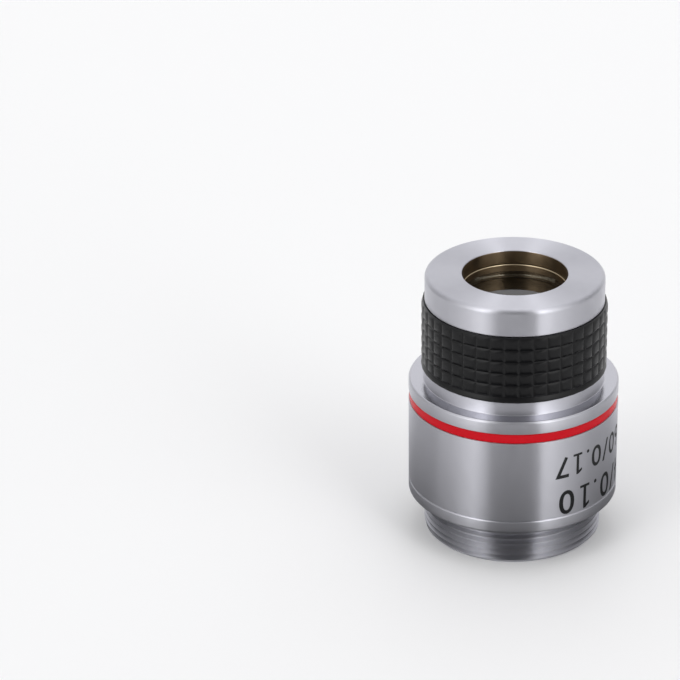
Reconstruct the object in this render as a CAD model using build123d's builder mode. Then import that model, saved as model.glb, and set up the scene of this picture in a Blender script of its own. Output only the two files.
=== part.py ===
import os
from math import atan, degrees, sqrt

from build123d import *

os.makedirs("parts", exist_ok=True)

# A 4x finite-tube microscope objective, in millimetres.
# The shoulder that seats on the nosepiece is z = 0, the optical axis is Z, the nose points up.

# Radial play between pieces: screwed or slid together, cell in its barrel, glass in its cell
screw_fit = 0.03
cell_fit = 0.05
glass_fit = 0.03

# Mounting thread: RMS, 20.32 mm across
thread_r = 10.16
thread_length = 4.8
thread_wall = 2.86
relief_width = 0.45
relief_depth = 0.5
lead_in = 0.5

# Outer shape, from the shoulder up: 24 mm barrel, neck, knurled grip and nose
shoulder_width = 1.84
flange_height = 1.6
sleeve_height = 12.6
neck_step = 1.7
neck_height = 1.7
grip_proud = 0.25
grip_height = 8.0
nose_inset = 0.35
nose_height = 3.2

# Edge breaks
seat_chamfer = 0.3
seam_chamfer = 0.12
step_chamfer = 0.2
nose_chamfer = 0.3
bore_chamfer = 0.08

# Colour band, enamel in a turned groove
band_drop = 1.5
band_height = 1.18
band_depth = 0.25
band_recess = 0.05

# Square knurl: rows and columns of pads between V grooves
knurl_columns = 40
knurl_rows = 5
knurl_margin_low = 0.62
knurl_margin_high = 0.13
knurl_depth = 0.18
knurl_groove = 0.5

# Walls, from the outside in
sleeve_wall = 1.14
sleeve_roof = 1.2
tube_wall = 2.2
barrel_wall = 1.2
cell_wall = 1.02
rear_cell_wall = 1.72

# Lock ring that fixes the focus setting of the lens barrel
lock_ring_height = 1.8
lock_ring_room = 2.2
lock_ring_gap = 0.27
spanner_width = 1.4
spanner_depth = 0.7

# Front of the lens barrel and its retaining ring
nose_lip = 1.6
nose_end_gap = 0.1
retainer_height = 0.8
front_land = 0.45
retainer_lip = 0.13
retainer_slot_width = 1.0
retainer_slot_depth = 0.4
retainer_slot_start = 0.3

# Rear stop, which the lens barrel clamps on the floor of the mount
stop_thickness = 0.7
stop_width = 3.4
ledge_thickness = 1.2
ledge_width = 1.2

# Front doublet: a flat-faced flint cemented to a biconvex crown
front_flint_centre = 1.0
front_crown_edge = 1.0
front_inner_curve = 14.0
front_crown_curve = 22.0
front_seat_width = 0.7
front_cell_floor = 1.2

# Rear doublet: a biconvex crown cemented to a flat-backed flint
rear_flint_centre = 1.2
rear_crown_edge = 1.0
rear_inner_curve = 15.0
rear_crown_curve = 26.0
rear_seat_width = 0.7
rear_cell_floor = 1.0
rear_retainer_height = 0.9
rear_cell_rim = 0.4

# Pieces between the cells
aperture_width = 4.15
aperture_thickness = 0.4
aperture_bevel = 0.25
washer_thickness = 0.3
spacer_wall = 1.05
washer_wall = 1.0

# Headless screws that centre the front cell
centring_screw_count = 3
centring_screw_r = 0.65
centring_screw_sink = 0.12
screw_slot_width = 0.25
screw_slot_depth = 0.3


def sag(curve, height):
    """How far a spherical face of this curve radius falls at this height from the axis."""
    return curve - sqrt(curve**2 - height**2)


# Radii of the outer shape
barrel_r = thread_r + shoulder_width
neck_r = barrel_r - neck_step
grip_r = neck_r + grip_proud
nose_r = grip_r - nose_inset
band_groove_r = barrel_r - band_depth
band_r = barrel_r - band_recess

# Radii of the nested tubes
rear_bore_r = thread_r - thread_wall
sleeve_bore_r = barrel_r - sleeve_wall
mount_tube_r = sleeve_bore_r - screw_fit
mount_bore_r = mount_tube_r - tube_wall
lens_barrel_r = mount_bore_r - screw_fit
barrel_bore_r = lens_barrel_r - barrel_wall
cell_r = barrel_bore_r - cell_fit
front_lens_r = cell_r - cell_wall - glass_fit
rear_lens_r = cell_r - rear_cell_wall - glass_fit
front_clear_r = front_lens_r - front_land
nose_bore_r = front_clear_r + retainer_lip
ledge_r = barrel_bore_r - ledge_width
aperture_r = cell_r - aperture_width

# Heights of the outer shape
sleeve_step_z = flange_height + sleeve_height
neck_top_z = sleeve_step_z + neck_height
grip_top_z = neck_top_z + grip_height
nose_z = grip_top_z + nose_height
band_top_z = sleeve_step_z - band_drop
band_bottom_z = band_top_z - band_height
roof_z = sleeve_step_z - sleeve_roof
mount_tube_top_z = roof_z - lock_ring_room - lock_ring_height
lock_ring_top_z = mount_tube_top_z + lock_ring_height
lip_z = nose_z - nose_lip

# Heights inside the lens barrel
barrel_rear_z = flange_height + stop_thickness
barrel_front_z = lip_z - nose_end_gap
ledge_top_z = barrel_rear_z + ledge_thickness
front_lens_z = barrel_front_z - retainer_height
front_inner_z = front_lens_z - front_flint_centre
front_flint_edge_z = front_inner_z - sag(front_inner_curve, front_lens_r)
front_crown_edge_z = front_flint_edge_z - front_crown_edge
front_vertex_z = front_crown_edge_z - sag(front_crown_curve, front_lens_r)
front_seat_r = front_lens_r - front_seat_width
front_seat_z = front_vertex_z + sag(front_crown_curve, front_seat_r)
front_cell_z = front_seat_z - front_cell_floor
aperture_z = front_cell_z - aperture_thickness
washer_z = aperture_z - washer_thickness
rear_lens_z = ledge_top_z + rear_cell_floor
rear_inner_z = rear_lens_z + rear_flint_centre
rear_flint_edge_z = rear_inner_z + sag(rear_inner_curve, rear_lens_r)
rear_crown_edge_z = rear_flint_edge_z + rear_crown_edge
rear_vertex_z = rear_crown_edge_z + sag(rear_crown_curve, rear_lens_r)
rear_seat_r = rear_lens_r - rear_seat_width
rear_retainer_z = rear_vertex_z - sag(rear_crown_curve, rear_seat_r)
rear_retainer_top_z = rear_retainer_z + rear_retainer_height
rear_cell_top_z = rear_retainer_top_z + rear_cell_rim
centring_z = (front_crown_edge_z + front_flint_edge_z) / 2


# Thread mount: turned brass, with the thread spigot, the shoulder and the tube that carries the rest
with BuildPart() as thread_mount:
    with BuildSketch(Plane.XZ) as mount_section:
        with BuildLine():
            Polyline(
                (rear_bore_r, -thread_length),
                (thread_r - lead_in, -thread_length),
                (thread_r, -thread_length + lead_in),
                (thread_r, -relief_width),
                (thread_r - relief_depth, -relief_width),
                (thread_r - relief_depth, 0),
                (barrel_r - seat_chamfer, 0),
                (barrel_r, seat_chamfer),
                (barrel_r, flange_height - seam_chamfer),
                (barrel_r - seam_chamfer, flange_height),
                (mount_tube_r, flange_height),
                (mount_tube_r, mount_tube_top_z),
                (mount_bore_r, mount_tube_top_z),
                (mount_bore_r, flange_height),
                (rear_bore_r, flange_height),
                close=True,
            )
        make_face()
    revolve(axis=Axis.Z)
thread_mount.part.label = "thread_mount"
export_step(thread_mount.part, "parts/thread_mount.step")


# Barrel sleeve: the satin outer shell, with the groove of the colour band and the stepped neck
with BuildPart() as barrel_sleeve:
    with BuildSketch(Plane.XZ) as sleeve_section:
        with BuildLine():
            Polyline(
                (sleeve_bore_r, flange_height),
                (barrel_r - seam_chamfer, flange_height),
                (barrel_r, flange_height + seam_chamfer),
                (barrel_r, band_bottom_z),
                (band_groove_r, band_bottom_z),
                (band_groove_r, band_top_z),
                (barrel_r, band_top_z),
                (barrel_r, sleeve_step_z),
                (neck_r, sleeve_step_z),
                (neck_r, neck_top_z),
                (mount_bore_r, neck_top_z),
                (mount_bore_r, roof_z),
                (sleeve_bore_r, roof_z),
                close=True,
            )
        make_face()
        step_corners = sleeve_section.vertices().filter_by_position(Axis.Y, sleeve_step_z, sleeve_step_z)
        chamfer(step_corners.sort_by(Axis.X)[-1], step_chamfer)
    revolve(axis=Axis.Z)
barrel_sleeve.part.label = "barrel_sleeve"
export_step(barrel_sleeve.part, "parts/barrel_sleeve.step")


# Red band: the colour code of the power, enamel that fills the groove almost flush
with BuildPart() as red_band:
    with BuildSketch(Plane.XY.offset(band_bottom_z)):
        Circle(band_r)
        Circle(band_groove_r, mode=Mode.SUBTRACT)
    extrude(amount=band_height)
red_band.part.label = "red_band"
export_step(red_band.part, "parts/red_band.step")


# Knurled ring: the black grip. V grooves part its rows and V flutes part its columns, which leaves
# flat square pads above a plain foot. Its outside has one flat for each column of pads.
knurl_low_z = neck_top_z + knurl_margin_low
knurl_high_z = grip_top_z - knurl_margin_high
row_pitch = (knurl_high_z - knurl_low_z) / knurl_rows
half_groove = knurl_groove / 2
knurl_root_r = grip_r - knurl_depth
groove_taper = degrees(atan(knurl_depth / half_groove))
with BuildPart() as knurled_ring:
    with BuildSketch(Plane.XY.offset(neck_top_z)):
        RegularPolygon(grip_r, knurl_columns, major_radius=False)
    extrude(amount=knurl_margin_low - half_groove)
    for row in range(knurl_rows):
        groove_z = knurl_low_z + row * row_pitch
        with BuildSketch(Plane.XY.offset(groove_z - half_groove)):
            RegularPolygon(grip_r, knurl_columns, major_radius=False)
        extrude(amount=half_groove, taper=groove_taper)
        with BuildSketch(Plane.XY.offset(groove_z)):
            RegularPolygon(knurl_root_r, knurl_columns, major_radius=False)
        extrude(amount=half_groove, taper=-groove_taper)
        with BuildSketch(Plane.XY.offset(groove_z + half_groove)):
            RegularPolygon(grip_r, knurl_columns, major_radius=False)
        extrude(amount=row_pitch - knurl_groove)
    with BuildSketch(Plane.XY.offset(knurl_high_z - half_groove)):
        RegularPolygon(grip_r, knurl_columns, major_radius=False)
    extrude(amount=half_groove, taper=groove_taper)
    with BuildSketch(Plane.XY.offset(knurl_high_z)):
        RegularPolygon(knurl_root_r, knurl_columns, major_radius=False)
    extrude(amount=knurl_margin_high)
    with BuildSketch(Plane.XY.offset(knurl_low_z)):
        with PolarLocations(0, knurl_columns):
            Polygon(
                (knurl_root_r, 0),
                (grip_r + knurl_depth, knurl_groove),
                (grip_r + knurl_depth, -knurl_groove),
                align=None,
            )
    extrude(amount=knurl_high_z - knurl_low_z, mode=Mode.SUBTRACT)
    with BuildSketch(Plane.XY.offset(neck_top_z)):
        Circle(mount_bore_r)
    extrude(amount=grip_height, mode=Mode.SUBTRACT)
knurled_ring.part.label = "knurled_ring"
export_step(knurled_ring.part, "parts/knurled_ring.step")


# Nose ring: the satin cap that screws on the lens barrel and clamps the grip and the sleeve
with BuildPart() as nose_ring:
    with BuildSketch(Plane.XZ) as nose_section:
        with BuildLine():
            Polyline(
                (mount_bore_r, grip_top_z),
                (nose_r, grip_top_z),
                (nose_r, nose_z),
                (nose_bore_r + bore_chamfer, nose_z),
                (nose_bore_r, nose_z - bore_chamfer),
                (nose_bore_r, lip_z),
                (mount_bore_r, lip_z),
                close=True,
            )
        make_face()
        chamfer(nose_section.vertices().group_by(Axis.Y)[-1].sort_by(Axis.X)[-1], nose_chamfer)
    revolve(axis=Axis.Z)
nose_ring.part.label = "nose_ring"
export_step(nose_ring.part, "parts/nose_ring.step")


# Lens barrel: the tube that holds the optics and carries the grip, the nose and the lock ring
with BuildPart() as lens_barrel:
    with BuildSketch(Plane.XZ):
        with BuildLine():
            Polyline(
                (ledge_r, barrel_rear_z),
                (lens_barrel_r, barrel_rear_z),
                (lens_barrel_r, barrel_front_z),
                (barrel_bore_r, barrel_front_z),
                (barrel_bore_r, ledge_top_z),
                (ledge_r, ledge_top_z),
                close=True,
            )
        make_face()
    revolve(axis=Axis.Z)
    for screw in range(centring_screw_count):
        outward = Vector(1, 0, 0).rotate(Axis.Z, screw * 360 / centring_screw_count)
        screw_way = Plane(origin=(0, 0, centring_z), x_dir=(0, 0, 1), z_dir=outward)
        with BuildSketch(screw_way):
            Circle(centring_screw_r + screw_fit)
        extrude(amount=lens_barrel_r, mode=Mode.SUBTRACT)
lens_barrel.part.label = "lens_barrel"
export_step(lens_barrel.part, "parts/lens_barrel.step")


# Centring screws: three headless screws through the barrel wall, which bear on the front cell
with BuildPart() as centring_screws:
    for screw in range(centring_screw_count):
        outward = Vector(1, 0, 0).rotate(Axis.Z, screw * 360 / centring_screw_count)
        screw_way = Plane(origin=(0, 0, centring_z), x_dir=(0, 0, 1), z_dir=outward)
        with BuildSketch(screw_way.offset(cell_r)):
            Circle(centring_screw_r)
        extrude(amount=lens_barrel_r - centring_screw_sink - cell_r)
        with BuildSketch(screw_way.offset(lens_barrel_r - centring_screw_sink)):
            Rectangle(screw_slot_width, 4 * centring_screw_r)
        extrude(amount=-screw_slot_depth, mode=Mode.SUBTRACT)
centring_screws.part.label = "centring_screws"
export_step(centring_screws.part, "parts/centring_screws.step")


# Lock ring: jams the lens barrel on the mount once its focus is set, with two spanner slots
with BuildPart() as parfocal_lock_ring:
    with BuildSketch(Plane.XY.offset(mount_tube_top_z)):
        Circle(sleeve_bore_r - lock_ring_gap)
        Circle(mount_bore_r, mode=Mode.SUBTRACT)
    extrude(amount=lock_ring_height)
    with BuildSketch(Plane.XY.offset(lock_ring_top_z)):
        Rectangle(2 * sleeve_bore_r, spanner_width)
    extrude(amount=-spanner_depth, mode=Mode.SUBTRACT)
parfocal_lock_ring.part.label = "parfocal_lock_ring"
export_step(parfocal_lock_ring.part, "parts/parfocal_lock_ring.step")


# Rear stop: a blackened disc on the floor of the mount, which keeps stray light off the eyepiece
with BuildPart() as rear_stop:
    with BuildSketch(Plane.XY.offset(flange_height)):
        Circle(lens_barrel_r)
        Circle(lens_barrel_r - stop_width, mode=Mode.SUBTRACT)
    extrude(amount=stop_thickness)
rear_stop.part.label = "rear_stop"
export_step(rear_stop.part, "parts/rear_stop.step")


# Front lens retainer: the threaded ring just inside the nose, which holds the front cell down
with BuildPart() as front_lens_retainer:
    with BuildSketch(Plane.XY.offset(front_lens_z)):
        Circle(barrel_bore_r - screw_fit)
        Circle(front_clear_r, mode=Mode.SUBTRACT)
    extrude(amount=retainer_height)
    with BuildSketch(Plane.XY.offset(barrel_front_z)):
        Rectangle(2 * barrel_bore_r, retainer_slot_width)
        Circle(nose_bore_r + retainer_slot_start, mode=Mode.SUBTRACT)
    extrude(amount=-retainer_slot_depth, mode=Mode.SUBTRACT)
front_lens_retainer.part.label = "front_lens_retainer"
export_step(front_lens_retainer.part, "parts/front_lens_retainer.step")


# Front lens cell: a cup with a seat whose inner corner meets the crown's lower face
with BuildPart() as front_lens_cell:
    with BuildSketch(Plane.XZ):
        with BuildLine():
            Polyline(
                (front_seat_r, front_cell_z),
                (cell_r, front_cell_z),
                (cell_r, front_lens_z),
                (front_lens_r + glass_fit, front_lens_z),
                (front_lens_r + glass_fit, front_seat_z),
                (front_seat_r, front_seat_z),
                close=True,
            )
        make_face()
    revolve(axis=Axis.Z)
front_lens_cell.part.label = "front_lens_cell"
export_step(front_lens_cell.part, "parts/front_lens_cell.step")


# Front flint lens: flat towards the specimen, hollow where the crown is cemented. The spheres that
# form the curved faces of the lenses have their poles on the X axis, clear of the glass.
with BuildPart() as front_flint_lens:
    with BuildSketch(Plane.XY.offset(front_flint_edge_z)):
        Circle(front_lens_r)
    extrude(amount=front_lens_z - front_flint_edge_z)
    with Locations(Location((0, 0, front_inner_z - front_inner_curve), (0, 90, 0))):
        Sphere(front_inner_curve, mode=Mode.SUBTRACT)
front_flint_lens.part.label = "front_flint_lens"
export_step(front_flint_lens.part, "parts/front_flint_lens.step")


# Front crown lens: convex on both faces
with BuildPart() as front_crown_lens:
    with BuildSketch(Plane.XY.offset(front_vertex_z)):
        Circle(front_lens_r)
    extrude(amount=front_inner_z - front_vertex_z)
    with Locations(Location((0, 0, front_inner_z - front_inner_curve), (0, 90, 0))):
        Sphere(front_inner_curve, mode=Mode.INTERSECT)
    with Locations(Location((0, 0, front_vertex_z + front_crown_curve), (0, -90, 0))):
        Sphere(front_crown_curve, mode=Mode.INTERSECT)
front_crown_lens.part.label = "front_crown_lens"
export_step(front_crown_lens.part, "parts/front_crown_lens.step")


# Aperture stop: a thin disc whose bevelled edge sets the numerical aperture
with BuildPart() as aperture_stop:
    with BuildSketch(Plane.XZ):
        with BuildLine():
            Polyline(
                (aperture_r + aperture_bevel, aperture_z),
                (cell_r, aperture_z),
                (cell_r, front_cell_z),
                (aperture_r, front_cell_z),
                (aperture_r, front_cell_z - aperture_thickness / 2),
                close=True,
            )
        make_face()
    revolve(axis=Axis.Z)
aperture_stop.part.label = "aperture_stop"
export_step(aperture_stop.part, "parts/aperture_stop.step")


# Spacing washer: picked by thickness at assembly to set the air gap between the doublets
with BuildPart() as spacing_washer:
    with BuildSketch(Plane.XY.offset(washer_z)):
        Circle(cell_r)
        Circle(cell_r - washer_wall, mode=Mode.SUBTRACT)
    extrude(amount=washer_thickness)
spacing_washer.part.label = "spacing_washer"
export_step(spacing_washer.part, "parts/spacing_washer.step")


# Spacer tube: stands between the rear cell and the washer
with BuildPart() as spacer_tube:
    with BuildSketch(Plane.XY.offset(rear_cell_top_z)):
        Circle(cell_r)
        Circle(cell_r - spacer_wall, mode=Mode.SUBTRACT)
    extrude(amount=washer_z - rear_cell_top_z)
spacer_tube.part.label = "spacer_tube"
export_step(spacer_tube.part, "parts/spacer_tube.step")


# Rear lens cell: a cup that stands on the ledge of the lens barrel
with BuildPart() as rear_lens_cell:
    with BuildSketch(Plane.XZ):
        with BuildLine():
            Polyline(
                (rear_seat_r, ledge_top_z),
                (cell_r, ledge_top_z),
                (cell_r, rear_cell_top_z),
                (rear_lens_r + glass_fit, rear_cell_top_z),
                (rear_lens_r + glass_fit, rear_lens_z),
                (rear_seat_r, rear_lens_z),
                close=True,
            )
        make_face()
    revolve(axis=Axis.Z)
rear_lens_cell.part.label = "rear_lens_cell"
export_step(rear_lens_cell.part, "parts/rear_lens_cell.step")


# Rear flint lens: flat towards the eyepiece, hollow where the crown is cemented
with BuildPart() as rear_flint_lens:
    with BuildSketch(Plane.XY.offset(rear_lens_z)):
        Circle(rear_lens_r)
    extrude(amount=rear_flint_edge_z - rear_lens_z)
    with Locations(Location((0, 0, rear_inner_z + rear_inner_curve), (0, -90, 0))):
        Sphere(rear_inner_curve, mode=Mode.SUBTRACT)
rear_flint_lens.part.label = "rear_flint_lens"
export_step(rear_flint_lens.part, "parts/rear_flint_lens.step")


# Rear crown lens: convex on both faces
with BuildPart() as rear_crown_lens:
    with BuildSketch(Plane.XY.offset(rear_inner_z)):
        Circle(rear_lens_r)
    extrude(amount=rear_vertex_z - rear_inner_z)
    with Locations(Location((0, 0, rear_inner_z + rear_inner_curve), (0, -90, 0))):
        Sphere(rear_inner_curve, mode=Mode.INTERSECT)
    with Locations(Location((0, 0, rear_vertex_z - rear_crown_curve), (0, 90, 0))):
        Sphere(rear_crown_curve, mode=Mode.INTERSECT)
rear_crown_lens.part.label = "rear_crown_lens"
export_step(rear_crown_lens.part, "parts/rear_crown_lens.step")


# Rear lens retainer: a ring whose lower inner corner bears on the crown
with BuildPart() as rear_lens_retainer:
    with BuildSketch(Plane.XY.offset(rear_retainer_z)):
        Circle(rear_lens_r)
        Circle(rear_seat_r, mode=Mode.SUBTRACT)
    extrude(amount=rear_retainer_height)
    with BuildSketch(Plane.XY.offset(rear_retainer_top_z)):
        Rectangle(2 * cell_r, retainer_slot_width)
    extrude(amount=-retainer_slot_depth, mode=Mode.SUBTRACT)
rear_lens_retainer.part.label = "rear_lens_retainer"
export_step(rear_lens_retainer.part, "parts/rear_lens_retainer.step")
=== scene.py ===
import bpy
import math
from mathutils import Matrix, Vector


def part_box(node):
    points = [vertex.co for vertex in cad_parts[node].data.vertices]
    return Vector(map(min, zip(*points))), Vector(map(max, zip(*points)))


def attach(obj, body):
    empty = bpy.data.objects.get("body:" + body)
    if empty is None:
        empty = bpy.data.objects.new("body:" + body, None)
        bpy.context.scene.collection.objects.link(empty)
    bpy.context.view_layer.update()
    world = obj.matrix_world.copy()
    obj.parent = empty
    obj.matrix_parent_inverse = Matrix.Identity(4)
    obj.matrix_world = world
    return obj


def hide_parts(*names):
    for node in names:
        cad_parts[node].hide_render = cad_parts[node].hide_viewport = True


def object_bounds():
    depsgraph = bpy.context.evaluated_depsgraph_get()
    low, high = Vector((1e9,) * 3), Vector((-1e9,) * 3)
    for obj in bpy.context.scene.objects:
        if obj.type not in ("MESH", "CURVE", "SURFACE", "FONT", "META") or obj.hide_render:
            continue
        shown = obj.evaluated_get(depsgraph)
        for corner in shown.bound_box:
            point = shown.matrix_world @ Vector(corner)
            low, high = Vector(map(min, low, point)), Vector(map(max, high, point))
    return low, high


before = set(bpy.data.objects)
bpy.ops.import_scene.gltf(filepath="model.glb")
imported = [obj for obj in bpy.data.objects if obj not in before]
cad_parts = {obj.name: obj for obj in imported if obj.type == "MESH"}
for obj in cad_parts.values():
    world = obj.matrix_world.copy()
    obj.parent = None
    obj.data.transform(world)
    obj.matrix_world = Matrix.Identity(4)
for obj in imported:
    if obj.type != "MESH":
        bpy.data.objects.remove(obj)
solid_box = [list(corner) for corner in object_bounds()]
mm = 0.001


# Camera: stands 0.4 m from the objective and looks 26 degrees down at it through a long lens. The
# objective stands right of the middle of the picture, which takes a hair of turn and roll.
camera_place = Vector((-19.41, -352.87, 190.28)) * mm
camera_down = math.radians(25.91)
camera_turn = math.radians(0.062)
camera_roll = math.radians(-0.597)
focal_pixels = 3450
picture_pixels = 680
bpy.ops.object.camera_add()
camera = bpy.context.object
camera.name = "camera"
camera.matrix_world = (
    Matrix.Translation(camera_place)
    @ Matrix.Rotation(camera_turn, 4, "Z")
    @ Matrix.Rotation(math.pi / 2 - camera_down, 4, "X")
    @ Matrix.Rotation(camera_roll, 4, "Z")
)
camera.data.lens = camera.data.sensor_width * focal_pixels / picture_pixels
camera.data.clip_start = 10 * mm
bpy.context.scene.camera = camera
camera_side = math.atan2(camera_place.y, camera_place.x)


# Thread mount: satin-chromed brass, turned from bar in one setting. It has the flange that seats on the
# nosepiece, the spigot with the standard 20.32 mm thread of 36 turns to the inch, and a tube inside.
thread_radius = 10.16 * mm
thread_pitch = 25.4 / 36 * mm
thread_depth = 0.45 * mm
thread_root = 0.14 * mm
thread_flank = math.radians(27.5)
thread_runout = 0.04 * mm
thread_clear = 0.02 * mm
thread_steps = 120
relief_width = 0.45 * mm
relief_depth = 0.5 * mm
lead_in = 0.5 * mm
rear_bore = 7.3 * mm
flange_height = 1.6 * mm
seat_edge = 0.3 * mm
seam_edge = 0.12 * mm
soft_break = 0.06 * mm
burr_break = 0.03 * mm
tube_radius = 10.83 * mm
tube_bore = 8.63 * mm
turn_steps = 240
weld = 0.001 * mm
mount_low, mount_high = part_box("thread_mount")
barrel_radius = mount_high.x
thread_end = mount_low.z


def only(piece):
    """Selects this piece alone and makes it the active one."""
    bpy.ops.object.select_all(action="DESELECT")
    piece.select_set(True)
    bpy.context.view_layer.objects.active = piece


def loop_of(name, section):
    """A closed loop of edges through the points (radius, height), in the plane of X and Z."""
    bpy.ops.object.select_all(action="DESELECT")
    bpy.ops.mesh.primitive_circle_add(vertices=len(section), radius=mm)
    piece = bpy.context.object
    piece.name = name
    for vertex, (radius, height) in zip(piece.data.vertices, section):
        vertex.co = (radius, 0, height)
    return piece


def turned(name, section, steps=turn_steps):
    """A piece as it comes off the lathe: its section, spun about the optical axis."""
    piece = loop_of(name, section)
    bpy.ops.object.mode_set(mode="EDIT")
    bpy.ops.mesh.select_all(action="SELECT")
    bpy.ops.mesh.spin(steps=steps, angle=2 * math.pi, center=(0, 0, 0), axis=(0, 0, 1))
    bpy.ops.mesh.select_all(action="SELECT")
    bpy.ops.mesh.remove_doubles(threshold=weld)
    bpy.ops.mesh.normals_make_consistent(inside=False)
    bpy.ops.object.mode_set(mode="OBJECT")
    return piece


def break_edge(piece, radius, height, size, segments=4):
    """Rounds the circular edge that lies at this radius and height."""
    only(piece)
    bpy.ops.object.mode_set(mode="EDIT")
    bpy.ops.mesh.select_mode(type="EDGE")
    bpy.ops.mesh.select_all(action="DESELECT")
    bpy.ops.object.mode_set(mode="OBJECT")
    near = 2 * weld
    on_edge = [
        abs(v.co.xy.length - radius) < near and abs(v.co.z - height) < near for v in piece.data.vertices
    ]
    for edge in piece.data.edges:
        edge.select = all(on_edge[v] for v in edge.vertices)
    bpy.ops.object.mode_set(mode="EDIT")
    bpy.ops.mesh.bevel(offset=size, offset_type="OFFSET", segments=segments, affect="EDGES")
    bpy.ops.mesh.select_mode(type="VERT")
    bpy.ops.object.mode_set(mode="OBJECT")


def worked(piece, kind, **settings):
    """Adds a modifier with these settings to the piece and applies it."""
    only(piece)
    step = piece.modifiers.new(kind.lower(), kind)
    for name, value in settings.items():
        setattr(step, name, value)
    bpy.ops.object.modifier_apply(modifier=step.name)


def smoothed(piece, sharp=30):
    """Smooth shading that keeps edges over this angle sharp and flats flat."""
    only(piece)
    bpy.ops.object.shade_smooth_by_angle(angle=math.radians(sharp))
    worked(piece, "WEIGHTED_NORMAL", keep_sharp=True, weight=80)


def colour(hex_code):
    """The linear colour of an sRGB hex code such as c8c8ce."""
    channels = [int(hex_code[i : i + 2], 16) / 255 for i in (0, 2, 4)]
    linear = [c / 12.92 if c <= 0.04045 else ((c + 0.055) / 1.055) ** 2.4 for c in channels]
    return (*linear, 1)


def add(tree, kind, inputs=None, **settings):
    """Adds a node with its settings. An input is a value, or the output of another node."""
    made = tree.nodes.new(kind)
    for name, value in settings.items():
        setattr(made, name, value)
    for name, value in (inputs or {}).items():
        if isinstance(value, bpy.types.NodeSocket):
            tree.links.new(value, made.inputs[name])
        else:
            made.inputs[name].default_value = value
    return made


def surface(name, **values):
    """A new material and its shader, with these values on the shader's own sockets. An underscore
    stands for each space in a socket's name."""
    material = bpy.data.materials.new(name)
    material.use_nodes = True
    shader = material.node_tree.nodes["Principled BSDF"]
    for socket, value in values.items():
        shader.inputs[socket.replace("_", " ")].default_value = value
    return material, shader


def turning_lines(material, shader, spacing, depth, rough_low, rough_high):
    """Marks of the lathe tool around the axis: a fine bump and bands of roughness, the same at each
    height on a side and at each radius on a face, and the brushed sheen that they give."""
    tree = material.node_tree
    place = add(tree, "ShaderNodeTexCoord").outputs["Object"]
    flat = add(tree, "ShaderNodeVectorMath", {0: place, 1: (1, 1, 0)}, operation="MULTIPLY").outputs[0]
    radius = add(tree, "ShaderNodeVectorMath", {0: flat}, operation="LENGTH").outputs["Value"]
    height = add(tree, "ShaderNodeSeparateXYZ", {0: place}).outputs["Z"]
    travel = add(tree, "ShaderNodeMath", {0: radius, 1: height}, operation="ADD").outputs[0]
    fine = add(
        tree,
        "ShaderNodeTexNoise",
        {"W": travel, "Scale": 1 / spacing, "Detail": 3.0, "Roughness": 0.6},
        noise_dimensions="1D",
    ).outputs["Fac"]
    broad = add(
        tree,
        "ShaderNodeTexNoise",
        {"Vector": flat, "W": travel, "Scale": 0.1 / spacing, "Detail": 2.0},
        noise_dimensions="4D",
    ).outputs["Fac"]
    lift = add(tree, "ShaderNodeBump", {"Height": fine, "Strength": 0.5, "Distance": depth})
    tree.links.new(lift.outputs["Normal"], shader.inputs["Normal"])
    rough = add(
        tree,
        "ShaderNodeMapRange",
        {"Value": broad, "From Min": 0.3, "From Max": 0.7, "To Min": rough_low, "To Max": rough_high},
    )
    tree.links.new(rough.outputs["Result"], shader.inputs["Roughness"])
    around = add(tree, "ShaderNodeVectorMath", {0: (0, 0, 1), 1: flat}, operation="CROSS_PRODUCT").outputs[0]
    grain = add(tree, "ShaderNodeVectorMath", {0: around}, operation="NORMALIZE").outputs[0]
    tree.links.new(grain, shader.inputs["Tangent"])


# Satin chrome on turned brass: a bright, slightly blue grey, sharp across the turning lines' run and
# drawn out along the axis, because the lines run around the piece.
satin_chrome, chrome_shader = surface(
    "satin_chrome", Base_Color=colour("c6c6cd"), Metallic=1.0, Anisotropic=1.0, Anisotropic_Rotation=0.25
)
turning_lines(
    satin_chrome, chrome_shader, spacing=0.09 * mm, depth=0.0012 * mm, rough_low=0.32, rough_high=0.37
)

thread_mount = turned(
    "thread_mount_visual",
    [
        (rear_bore, thread_end),
        (thread_radius - lead_in, thread_end),
        (thread_radius, thread_end + lead_in),
        (thread_radius, -relief_width),
        (thread_radius - relief_depth, -relief_width),
        (thread_radius - relief_depth, 0),
        (barrel_radius - seat_edge, 0),
        (barrel_radius, seat_edge),
        (barrel_radius, flange_height - seam_edge),
        (barrel_radius - seam_edge, flange_height),
        (tube_radius, flange_height),
        (tube_radius, mount_high.z),
        (tube_bore, mount_high.z),
        (tube_bore, flange_height),
        (rear_bore, flange_height),
    ],
)
break_edge(thread_mount, barrel_radius, seat_edge, soft_break)
break_edge(thread_mount, barrel_radius, flange_height - seam_edge, burr_break)
groove_half = thread_root / 2 + thread_depth * math.tan(thread_flank)
mouth_half = groove_half + thread_runout * math.tan(thread_flank)
thread_turns = 7
thread_start = -mouth_half - thread_clear - thread_turns * thread_pitch
thread_tool = loop_of(
    "thread_tool",
    [
        (thread_radius - thread_depth, thread_start - thread_root / 2),
        (thread_radius + thread_runout, thread_start - mouth_half),
        (thread_radius + thread_runout, thread_start + mouth_half),
        (thread_radius - thread_depth, thread_start + thread_root / 2),
    ],
)
worked(
    thread_tool, "SCREW", axis="Z", angle=2 * math.pi, screw_offset=thread_pitch,
    iterations=thread_turns, steps=thread_steps, render_steps=thread_steps,
)
bpy.ops.object.mode_set(mode="EDIT")
bpy.ops.mesh.select_all(action="SELECT")
bpy.ops.mesh.fill_holes(sides=4)
bpy.ops.mesh.normals_make_consistent(inside=False)
bpy.ops.object.mode_set(mode="OBJECT")
worked(thread_mount, "BOOLEAN", operation="DIFFERENCE", solver="EXACT", object=thread_tool)
bpy.data.objects.remove(thread_tool)
smoothed(thread_mount)
thread_mount.data.materials.append(satin_chrome)
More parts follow.
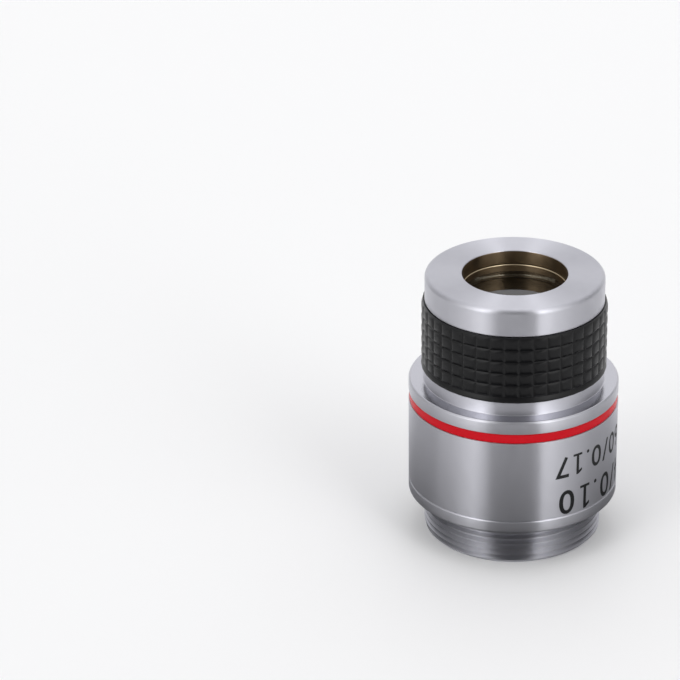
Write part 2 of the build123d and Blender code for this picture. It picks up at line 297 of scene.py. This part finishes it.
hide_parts("thread_mount")
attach(thread_mount, "root")


# Barrel sleeve: the satin-chromed outer shell, turned from tube. A groove for the colour band runs round
# it near the top, and above the step its neck carries the grip.
sleeve_low, sleeve_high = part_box("barrel_sleeve")
band_low, band_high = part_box("red_band")
band_depth = 0.25 * mm
neck_step = 1.7 * mm
neck_height = 1.7 * mm
step_edge = 0.2 * mm
neck_fillet = 0.12 * mm
sleeve_roof = 1.2 * mm
screw_fit = 0.03 * mm
band_groove = barrel_radius - band_depth
neck_radius = barrel_radius - neck_step
step_height = sleeve_high.z - neck_height
roof_height = step_height - sleeve_roof
sleeve_bore = tube_radius + screw_fit
barrel_sleeve = turned(
    "barrel_sleeve_visual",
    [
        (sleeve_bore, sleeve_low.z),
        (barrel_radius - seam_edge, sleeve_low.z),
        (barrel_radius, sleeve_low.z + seam_edge),
        (barrel_radius, band_low.z),
        (band_groove, band_low.z),
        (band_groove, band_high.z),
        (barrel_radius, band_high.z),
        (barrel_radius, step_height - step_edge),
        (barrel_radius - step_edge, step_height),
        (neck_radius, step_height),
        (neck_radius, sleeve_high.z),
        (tube_bore, sleeve_high.z),
        (tube_bore, roof_height),
        (sleeve_bore, roof_height),
    ],
)
break_edge(barrel_sleeve, barrel_radius, band_low.z, burr_break)
break_edge(barrel_sleeve, barrel_radius, band_high.z, burr_break)
break_edge(barrel_sleeve, barrel_radius, step_height - step_edge, soft_break)
break_edge(barrel_sleeve, barrel_radius - step_edge, step_height, soft_break)
break_edge(barrel_sleeve, neck_radius, step_height, neck_fillet)

# Faced chrome: the step's top is cut across the bar with a sharper tool, so it mirrors the neck and grip.
faced_chrome, faced_shader = surface(
    "faced_chrome", Base_Color=colour("c6c6cd"), Metallic=1.0, Anisotropic=0.7, Anisotropic_Rotation=0.25
)
turning_lines(
    faced_chrome, faced_shader, spacing=0.09 * mm, depth=0.0006 * mm, rough_low=0.15, rough_high=0.19
)
barrel_sleeve.data.materials.append(satin_chrome)
barrel_sleeve.data.materials.append(faced_chrome)


# Ratings: power over aperture and tube length over cover glass, as plain numbers. They are cut 0.06 mm
# deep into the sleeve and filled with black lacquer, and read upright when the nose points down.
rating_depth = 0.06 * mm
lacquer_sink = 0.015 * mm
cut_over = 0.12 * mm
bend_step = 0.25 * mm
glyph_weld = 0.0005 * mm
digit_share = 0.66
stroke_growth = 0.01
# The 1's outline, and the width and height of the marks, as shares of the digits' height
one_outline = [
    (-0.24, 0), (0.24, 0), (0.24, 0.11), (0.07, 0.11), (0.07, 1), (-0.05, 1),
    (-0.24, 0.86), (-0.24, 0.73), (-0.07, 0.83), (-0.07, 0.11), (-0.24, 0.11),
]
mark_shares = {"/": (0.5, 1), ".": (0.16, 0.16)}


def numeral(character):
    """One character, flat and half a metre thick either way, before it is sized and wrapped. The 1 has
    a flag and a foot, which the font's own lacks. The 4 isn't grown, or its strokes would cross."""
    bpy.ops.object.select_all(action="DESELECT")
    if character == "1":
        bpy.ops.mesh.primitive_circle_add(vertices=len(one_outline), radius=mm, fill_type="NGON")
        piece = bpy.context.object
        for v, (x, y) in zip(piece.data.vertices, one_outline):
            v.co = (x, y, -0.5)
        bpy.ops.object.mode_set(mode="EDIT")
        bpy.ops.mesh.select_all(action="SELECT")
        bpy.ops.mesh.extrude_region_move(TRANSFORM_OT_translate={"value": (0, 0, 1)})
        bpy.ops.object.mode_set(mode="OBJECT")
        return piece
    bpy.ops.object.text_add()
    piece = bpy.context.object
    piece.data.body = character
    piece.data.extrude = 0.5
    piece.data.offset = 0 if character == "4" else stroke_growth
    piece.data.resolution_u = 6
    bpy.ops.object.convert(target="MESH")
    return piece


def rating(name, marks, height, foot):
    """Lettering wrapped round the barrel, upside down, its foot at one height, and cut into the sleeve.
    Each mark is a character and the angle of its middle, right of the camera's side."""
    pieces = []
    for character, degrees in marks:
        piece = numeral(character)
        points = piece.data.vertices
        low, high = min(v.co.y for v in points), max(v.co.y for v in points)
        left, right = min(v.co.x for v in points), max(v.co.x for v in points)
        own_share = (right - left) if character == "1" else digit_share
        width_share, height_share = mark_shares.get(character, (own_share, 1))
        across, up = width_share * height / (right - left), height_share * height / (high - low)
        for v in points:
            v.co = ((v.co.x - (left + right) / 2) * across, (v.co.y - low) * up, v.co.z)
        half_width = width_share * height / 2
        bpy.ops.object.mode_set(mode="EDIT")
        for cut in range(1, int(2 * half_width / bend_step) + 1):
            bpy.ops.mesh.select_all(action="SELECT")
            bpy.ops.mesh.bisect(plane_co=(cut * bend_step - half_width, 0, 0), plane_no=(1, 0, 0))
        bpy.ops.mesh.select_all(action="SELECT")
        bpy.ops.mesh.remove_doubles(threshold=glyph_weld)
        bpy.ops.mesh.normals_make_consistent(inside=False)
        bpy.ops.object.mode_set(mode="OBJECT")
        for v in piece.data.vertices:
            angle = camera_side + math.radians(degrees) - v.co.x / barrel_radius
            radius = barrel_radius + (cut_over if v.co.z > 0 else -rating_depth)
            v.co = (radius * math.cos(angle), radius * math.sin(angle), foot - v.co.y)
        pieces.append(piece)
        worked(barrel_sleeve, "BOOLEAN", operation="DIFFERENCE", solver="EXACT", object=piece)
    only(pieces[0])
    for piece in pieces:
        piece.select_set(True)
    bpy.ops.object.join()
    pieces[0].name = name
    return pieces[0]


# Black lacquer: half dull, so the figures stay dark where the chrome beside them flares.
black_lacquer = surface("black_lacquer", Base_Color=colour("0d0d0f"), Roughness=0.4)[0]
tube_marks = zip("160/0.17", (89.2, 79.4, 69.8, 61.2, 52.4, 45.2, 37.9, 28.0))
power_marks = zip("4/0.10", (81.4, 71.4, 61.4, 51.8, 43.4, 31.2))
for name, marks, height, foot in (
    ("rating_tube", tube_marks, 2.64 * mm, 9.2 * mm),
    ("rating_power", power_marks, 3.05 * mm, 4.9 * mm),
):
    lettering = rating(name, marks, height, foot)
    for v in lettering.data.vertices:
        if v.co.xy.length > barrel_radius:
            v.co.xy *= (barrel_radius - lacquer_sink) / v.co.xy.length
    only(lettering)
    bpy.ops.object.mode_set(mode="EDIT")
    bpy.ops.mesh.select_all(action="SELECT")
    bpy.ops.mesh.normals_make_consistent(inside=False)
    bpy.ops.object.mode_set(mode="OBJECT")
    smoothed(lettering)
    lettering.data.materials.append(black_lacquer)
    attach(lettering, "root")
for face in barrel_sleeve.data.polygons:
    face.material_index = int(face.normal.z > 0.9 and abs(face.center.z - step_height) < 10 * weld)
smoothed(barrel_sleeve)
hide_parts("barrel_sleeve")
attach(barrel_sleeve, "root")


# Red band: enamel run into the groove and wiped nearly flush, which leaves rounded, darker edges.
enamel_edge = 0.18 * mm
red_band = turned(
    "red_band_visual",
    [
        (band_groove, band_low.z),
        (band_high.x, band_low.z),
        (band_high.x, band_high.z),
        (band_groove, band_high.z),
    ],
)
break_edge(red_band, band_high.x, band_low.z, enamel_edge, segments=6)
break_edge(red_band, band_high.x, band_high.z, enamel_edge, segments=6)
smoothed(red_band)
# Red enamel: a full, deep red with only a faint gloss, so it stays even all the way round.
red_enamel = surface(
    "red_enamel", Base_Color=colour("c00f1d"), Roughness=0.25, Specular_IOR_Level=0.1
)[0]
red_band.data.materials.append(red_enamel)
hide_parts("red_band")
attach(red_band, "root")


# Knurled ring: the grip, an aluminium ring with a square knurl, blasted and anodised black. V grooves
# run round it and down it and leave 40 columns of 5 pads, over a plain foot.
grip_low, grip_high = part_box("knurled_ring")
knurl_columns = 40
knurl_rows = 5
knurl_depth = 0.18 * mm
knurl_half_groove = 0.4 * mm
pad_edge = 0.14 * mm
foot_height = 0.62 * mm
rim_height = 0.13 * mm
grip_proud = 0.25 * mm
grip_radius = neck_radius + grip_proud
knurl_low = grip_low.z + foot_height
knurl_high = grip_high.z - rim_height
row_pitch = (knurl_high - knurl_low) / knurl_rows
corner_radius = grip_radius / math.cos(math.pi / knurl_columns)
bpy.ops.object.select_all(action="DESELECT")
bpy.ops.mesh.primitive_cylinder_add(
    vertices=knurl_columns, radius=corner_radius, depth=grip_high.z - grip_low.z, end_fill_type="NOTHING"
)
knurled_ring = bpy.context.object
knurled_ring.name = "knurled_ring_visual"
middle = (grip_low.z + grip_high.z) / 2
for v in knurled_ring.data.vertices:
    v.co.z += middle
bpy.ops.object.mode_set(mode="EDIT")
row_lines = [knurl_low + row * row_pitch for row in range(knurl_rows + 1)]
for height in [knurl_low - knurl_half_groove] + row_lines:
    bpy.ops.mesh.select_all(action="SELECT")
    bpy.ops.mesh.bisect(plane_co=(0, 0, height), plane_no=(0, 0, 1))
bpy.ops.mesh.select_mode(type="FACE")
bpy.ops.mesh.select_all(action="DESELECT")
bpy.ops.object.mode_set(mode="OBJECT")
for face in knurled_ring.data.polygons:
    face.select = knurl_low < face.center.z < knurl_high
bpy.ops.object.mode_set(mode="EDIT")
bpy.ops.mesh.inset(thickness=knurl_half_groove, depth=0, use_individual=True)
bpy.ops.object.mode_set(mode="OBJECT")
pads = {v for face in knurled_ring.data.polygons if face.select for v in face.vertices}
for v in knurled_ring.data.vertices:
    if v.index not in pads and v.co.z > knurl_low - knurl_half_groove / 2:
        v.co.xy *= (grip_radius - knurl_depth) / grip_radius
bpy.ops.object.mode_set(mode="EDIT")
bpy.ops.mesh.select_mode(type="EDGE")
bpy.ops.mesh.region_to_loop()
bpy.ops.mesh.bevel(offset=pad_edge, offset_type="OFFSET", segments=3, affect="EDGES")
bpy.ops.mesh.select_mode(type="VERT")
bpy.ops.mesh.select_all(action="DESELECT")
bpy.ops.object.mode_set(mode="OBJECT")
grip_bore = tube_bore
for end_height in (grip_low.z, grip_high.z):
    bpy.ops.object.mode_set(mode="EDIT")
    bpy.ops.mesh.select_all(action="DESELECT")
    bpy.ops.object.mode_set(mode="OBJECT")
    for v in knurled_ring.data.vertices:
        v.select = abs(v.co.z - end_height) < weld
    rim_radius = max(v.co.xy.length for v in knurled_ring.data.vertices if v.select)
    bpy.ops.object.mode_set(mode="EDIT")
    bpy.ops.mesh.select_mode(type="VERT")
    bpy.ops.mesh.extrude_region_move()
    bpy.ops.transform.resize(
        value=(grip_bore / rim_radius, grip_bore / rim_radius, 1), center_override=(0, 0, end_height)
    )
    bpy.ops.object.mode_set(mode="OBJECT")
bpy.ops.object.mode_set(mode="EDIT")
bpy.ops.mesh.select_all(action="DESELECT")
bpy.ops.mesh.select_non_manifold()
bpy.ops.mesh.bridge_edge_loops()
bpy.ops.mesh.select_all(action="SELECT")
bpy.ops.mesh.normals_make_consistent(inside=False)
bpy.ops.object.mode_set(mode="OBJECT")
smoothed(knurled_ring, sharp=28)

# Black anodised: blasted first, so the pads stay nearly black and only the grooves' flanks catch light.
black_anodised, anodised_shader = surface(
    "black_anodised", Base_Color=colour("08080a"), Roughness=0.3, Specular_IOR_Level=0.25
)
tree = black_anodised.node_tree
place = add(tree, "ShaderNodeTexCoord").outputs["Object"]
blast_grain = 0.06 * mm
blast_depth = 0.004 * mm
grit = add(
    tree, "ShaderNodeTexNoise", {"Vector": place, "Scale": 1 / blast_grain, "Detail": 2.0}
).outputs["Fac"]
grit_lift = add(tree, "ShaderNodeBump", {"Height": grit, "Strength": 0.6, "Distance": blast_depth})
tree.links.new(grit_lift.outputs["Normal"], anodised_shader.inputs["Normal"])
knurled_ring.data.materials.append(black_anodised)
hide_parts("knurled_ring")
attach(knurled_ring, "root")


# Nose ring: the satin-chromed cap that screws on over the front of the lens barrel. Its face is turned
# smooth, its rim is rounded, and its bore is blackened so that no light strays into the lens.
nose_low, nose_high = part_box("nose_ring")
nose_bore = 5.98 * mm
nose_lip = 1.6 * mm
lip_height = nose_high.z - nose_lip
nose_rim = 0.55 * mm
nose_foot_edge = 0.1 * mm
nose_bore_edge = 0.14 * mm
lip_edge = 0.04 * mm
nose_ring = turned(
    "nose_ring_visual",
    [
        (tube_bore, nose_low.z),
        (nose_high.x, nose_low.z),
        (nose_high.x, nose_high.z),
        (nose_bore, nose_high.z),
        (nose_bore, lip_height),
        (tube_bore, lip_height),
    ],
)
break_edge(nose_ring, nose_high.x, nose_high.z, nose_rim, segments=10)
break_edge(nose_ring, nose_high.x, nose_low.z, nose_foot_edge)
break_edge(nose_ring, nose_bore, nose_high.z, nose_bore_edge)
break_edge(nose_ring, nose_bore, lip_height, lip_edge)
smoothed(nose_ring)

# Blackened brass: chemically darkened, so it stays a metal, warm brown where light rakes over the
# turning lines and nearly black elsewhere.
blackened_brass, brass_shader = surface(
    "blackened_brass", Base_Color=colour("8a7860"), Metallic=1.0, Anisotropic=0.8, Anisotropic_Rotation=0.25
)
turning_lines(
    blackened_brass, brass_shader, spacing=0.12 * mm, depth=0.002 * mm, rough_low=0.28, rough_high=0.4
)
nose_ring.data.materials.append(satin_chrome)
nose_ring.data.materials.append(blackened_brass)
for face in nose_ring.data.polygons:
    inward = face.center.xy.dot(face.normal.xy) < 0
    face.material_index = int(inward and face.center.xy.length < nose_bore + 20 * weld)
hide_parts("nose_ring")
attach(nose_ring, "root")


# Front lens retainer: the ring under the lip of the nose that holds the front cell down. It is blackened
# too, and the up-facing rounding of its inner edge is given pale metal, a painted highlight that makes a
# thin bright line.
retainer_low, retainer_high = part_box("front_lens_retainer")
retainer_bore = 5.85 * mm
retainer_edge = 0.1 * mm
front_retainer = turned(
    "front_lens_retainer_visual",
    [
        (retainer_bore, retainer_low.z),
        (retainer_high.x, retainer_low.z),
        (retainer_high.x, retainer_high.z),
        (retainer_bore, retainer_high.z),
    ],
)
break_edge(front_retainer, retainer_bore, retainer_high.z, retainer_edge)
smoothed(front_retainer)

# Pale brass as a painted highlight: bright metal on the up-facing rounding of the retainer's inner edge,
# which makes the thin bright line.
edge_highlight_brass = surface(
    "edge_highlight_brass", Base_Color=colour("e0cfae"), Metallic=1.0, Roughness=0.3, Anisotropic=0.9,
    Anisotropic_Rotation=0.25,
)[0]
front_retainer.data.materials.append(blackened_brass)
front_retainer.data.materials.append(edge_highlight_brass)
# Painted highlight: the up-facing faces of the inner edge's rounding take the pale metal.
for face in front_retainer.data.polygons:
    across = face.center.xy.length - retainer_bore
    face.material_index = int(face.normal.z > 0.2 and across < retainer_edge)
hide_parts("front_lens_retainer")
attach(front_retainer, "root")


# Lenses: two cemented doublets, each a dense flint and a crown, ground, polished and given a thin
# anti-reflection coating. The two glasses of a pair lap by a hair, because no air parts cemented faces.
cement_lap = 0.01 * mm
lens_rings = 24
lens_steps = 96
front_inner_curve = 14.0 * mm
front_crown_curve = 22.0 * mm
rear_inner_curve = 15.0 * mm
rear_crown_curve = 26.0 * mm
flint_thickness = 1.0 * mm
rear_flint_thickness = 1.2 * mm


def lens_face(edge_radius, middle, curve):
    """Points of a lens face from the axis out, whose middle lies at this height. A positive curve radius
    falls towards the edge, a negative one rises, and with none the face is flat."""
    points = []
    for ring in range(lens_rings + 1):
        radius = edge_radius * (ring / lens_rings)
        drop = curve - math.copysign(math.sqrt(curve**2 - radius**2), curve) if curve else 0
        points.append((radius, middle - drop))
    return points


def ground_lens(node, edge_radius, low, low_curve, high, high_curve, glass):
    """The lens of this node, from the heights of its faces on the axis and their curve radii."""
    lower = lens_face(edge_radius, low, low_curve)
    upper = lens_face(edge_radius, high, high_curve)
    lens = turned(node + "_visual", lower + upper[::-1], lens_steps)
    smoothed(lens)
    lens.data.materials.append(glass)
    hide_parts(node)
    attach(lens, "root")


# Flint and crown glass: clear, the flint a touch warm, both with weak glints because of the coating.
flint_glass = surface(
    "flint_glass", Base_Color=colour("d6cfbc"), Roughness=0.0, IOR=1.62, Transmission_Weight=1.0,
    Specular_IOR_Level=0.2,
)[0]
crown_glass = surface(
    "crown_glass", Base_Color=colour("fbfcfb"), Roughness=0.0, IOR=1.517, Transmission_Weight=1.0,
    Specular_IOR_Level=0.2,
)[0]
front_flint_low, front_flint_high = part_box("front_flint_lens")
front_crown_low, front_crown_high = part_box("front_crown_lens")
rear_flint_low, rear_flint_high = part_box("rear_flint_lens")
rear_crown_low, rear_crown_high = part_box("rear_crown_lens")
front_inner = front_flint_high.z - flint_thickness
rear_inner = rear_flint_low.z + rear_flint_thickness
for lens_of in (
    ("front_flint_lens", front_flint_high.x, front_inner, front_inner_curve, front_flint_high.z, 0,
     flint_glass),
    ("front_crown_lens", front_crown_high.x, front_crown_low.z, -front_crown_curve,
     front_inner + cement_lap, front_inner_curve, crown_glass),
    ("rear_flint_lens", rear_flint_high.x, rear_flint_low.z, 0, rear_inner, -rear_inner_curve,
     flint_glass),
    ("rear_crown_lens", rear_crown_high.x, rear_inner - cement_lap, -rear_inner_curve,
     rear_crown_high.z, rear_crown_curve, crown_glass),
):
    ground_lens(*lens_of)


# Inner metalwork: lens barrel, cells, stops, spacers and retainers of brass, painted flat black wherever
# light passes, with bare brass where none does, and steel centring screws.
flat_black = surface(
    "flat_black", Base_Color=colour("1c1712"), Roughness=0.8, Specular_IOR_Level=0.2
)[0]
bare_brass, bare_shader = surface(
    "bare_brass", Base_Color=colour("d9b46a"), Metallic=1.0, Anisotropic=0.7, Anisotropic_Rotation=0.25
)
turning_lines(
    bare_brass, bare_shader, spacing=0.1 * mm, depth=0.0015 * mm, rough_low=0.24, rough_high=0.34
)
screw_steel, steel_shader = surface(
    "screw_steel", Base_Color=colour("8e8e92"), Metallic=1.0, Anisotropic=0.5, Anisotropic_Rotation=0.25
)
turning_lines(
    screw_steel, steel_shader, spacing=0.08 * mm, depth=0.001 * mm, rough_low=0.3, rough_high=0.4
)
for node, finish in (
    ("lens_barrel", flat_black),
    ("rear_stop", flat_black),
    ("front_lens_cell", flat_black),
    ("rear_lens_cell", flat_black),
    ("rear_lens_retainer", flat_black),
    ("spacer_tube", flat_black),
    ("aperture_stop", flat_black),
    ("spacing_washer", bare_brass),
    ("parfocal_lock_ring", bare_brass),
    ("centring_screws", screw_steel),
):
    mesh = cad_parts[node].data
    mesh.materials.clear()
    mesh.materials.append(finish)


# Floor: a plain pale table under the thread's end.
bpy.ops.object.select_all(action="DESELECT")
floor_size = 4.0
bpy.ops.mesh.primitive_plane_add(size=floor_size, location=(0, 0, solid_box[0][2]))
floor = bpy.context.object
floor.name = "floor"
floor_paint = surface(
    "floor_paint", Base_Color=colour("f6f6f6"), Roughness=1.0, Specular_IOR_Level=0.0
)[0]
floor.data.materials.append(floor_paint)


# Cards: sheets laid on the table round the objective that only mirrors show, so they are painted
# reflections.
# Grey ones before and beside it paint the bright metal's dark lines, and a dark one rings its foot as
# painted shade.
card_lift = 0.2 * mm
foot_card_reach = 22 * mm
near_card_reach = 36 * mm
far_card_reach = 400 * mm


def card(name, corners, tone, height):
    """A card of this grey, lying at this height over the table, with these corners."""
    bpy.ops.object.select_all(action="DESELECT")
    bpy.ops.mesh.primitive_circle_add(vertices=len(corners), radius=mm, fill_type="NGON")
    sheet = bpy.context.object
    sheet.name = name
    for v, (x, y) in zip(sheet.data.vertices, corners):
        v.co = (x, y, solid_box[0][2] + height)
    board = surface(
        name + "_board", Base_Color=colour(tone), Roughness=1.0, Specular_IOR_Level=0.0
    )[0]
    sheet.data.materials.append(board)
    # Seen only in reflections, so each card is a painted reflection.
    sheet.visible_camera = False
    sheet.visible_diffuse = False
    sheet.visible_shadow = False
    sheet.visible_transmission = False


def mirrored_point(side, away):
    """The point that far from the barrel that its wall mirrors at this angle from the camera's side."""
    from_axis = camera_side + math.radians(side)
    outward = camera_side + math.radians(2 * side)
    return (
        barrel_radius * math.cos(from_axis) + away * math.cos(outward),
        barrel_radius * math.sin(from_axis) + away * math.sin(outward),
    )


# Painted reflection: each grey card is darker near the foot and paler further out.
for name, left, right in (("front", -13.0, 15.0), ("left", -68.0, -44.0), ("right", 44.0, 68.0)):
    for part, start, reach, tone in (
        ("near", foot_card_reach, near_card_reach, "cccccc"),
        ("far", near_card_reach, far_card_reach, "ececec"),
    ):
        card(
            f"card_{name}_{part}",
            [mirrored_point(left, start), mirrored_point(left, reach), mirrored_point(right, reach),
             mirrored_point(right, start)],
            tone, card_lift,
        )
# Painted shade: a dark ring round the foot, seen only in the metal's reflections, that darkens the barrel's
# lower part.
foot_card_steps = 48
card(
    "painted_shade_ring",
    [
        ((barrel_radius + foot_card_reach) * math.cos(2 * math.pi * i / foot_card_steps),
         (barrel_radius + foot_card_reach) * math.sin(2 * math.pi * i / foot_card_steps))
        for i in range(foot_card_steps)
    ],
    "404040", 2 * card_lift,
)


# Light: a product photographer's tent. Its wall has two bright strips left and right of the camera with
# a dark gap between them, dark sides and a pale back, under a bright ceiling that leans to the back. A
# soft box over the back brightens the nose's face before and behind the opening.
world = bpy.data.worlds.new("tent")
bpy.context.scene.world = world
world.use_nodes = True
tree = world.node_tree
tree.nodes.clear()
direction = add(tree, "ShaderNodeTexCoord").outputs["Generated"]
turned_way = add(
    tree, "ShaderNodeVectorRotate", {"Vector": direction, "Angle": -camera_side}, rotation_type="Z_AXIS"
).outputs[0]
parts = add(tree, "ShaderNodeSeparateXYZ", {0: turned_way}).outputs
bearing = add(tree, "ShaderNodeMath", {0: parts["Y"], 1: parts["X"]}, operation="ARCTAN2").outputs[0]
share = add(
    tree, "ShaderNodeMapRange", {"Value": bearing, "From Min": -math.pi, "From Max": math.pi}
).outputs["Result"]
ramp = add(tree, "ShaderNodeValToRGB", {"Fac": share})
wall_tones = (
    (-180, 0.35), (-155, 0.33), (-130, 0.16), (-110, 0.12), (-90, 0.2), (-65, 0.45), (-50, 0.8),
    (-40, 1.0), (-34, 0.7), (-22, 0.12), (0, 0.09), (28, 0.1), (31, 0.9), (40, 1.0), (55, 0.6),
    (80, 0.25), (105, 0.1), (125, 0.1), (150, 0.3), (180, 0.35),
)
wall_light = 2.8
ceiling_light = 0.96
stops = ramp.color_ramp.elements
while len(stops) < len(wall_tones):
    stops.new(0.5)
for stop, (degrees, tone) in zip(stops, wall_tones):
    stop.position = (degrees + 180) / 360
    stop.color = (tone, tone, tone, 1)
wall = add(tree, "ShaderNodeBackground", {"Color": ramp.outputs["Color"], "Strength": wall_light}).outputs[0]
ceiling = add(
    tree, "ShaderNodeBackground", {"Color": (0.98, 0.98, 1, 1), "Strength": ceiling_light}
).outputs[0]
ceiling_lean = math.radians(30)
ceiling_way = (-math.sin(ceiling_lean), 0, math.cos(ceiling_lean))
towards = add(
    tree, "ShaderNodeVectorMath", {0: turned_way, 1: ceiling_way}, operation="DOT_PRODUCT"
).outputs["Value"]
upward = add(
    tree, "ShaderNodeMapRange", {"Value": towards, "From Min": 0.45, "From Max": 0.85},
    interpolation_type="SMOOTHSTEP",
).outputs["Result"]
tent = add(tree, "ShaderNodeMixShader", {0: upward, 1: wall, 2: ceiling}).outputs[0]
add(tree, "ShaderNodeOutputWorld", {"Surface": tent})
bpy.ops.object.select_all(action="DESELECT")
top_box_place = Vector((0.02, 0.27, 0.42))
top_box_width = 0.14
top_box_length = 0.36
top_box_watts = 0.12
bpy.ops.object.light_add(type="AREA", location=top_box_place)
lamp = bpy.context.object
lamp.name = "soft_box_top"
lamp.data.shape = "RECTANGLE"
lamp.data.size = top_box_width
lamp.data.size_y = top_box_length
lamp.data.energy = top_box_watts
lamp.rotation_euler = (-top_box_place).to_track_quat("-Z", "Y").to_euler()
lamp.visible_camera = False
bpy.context.scene.view_settings.view_transform = "Standard"
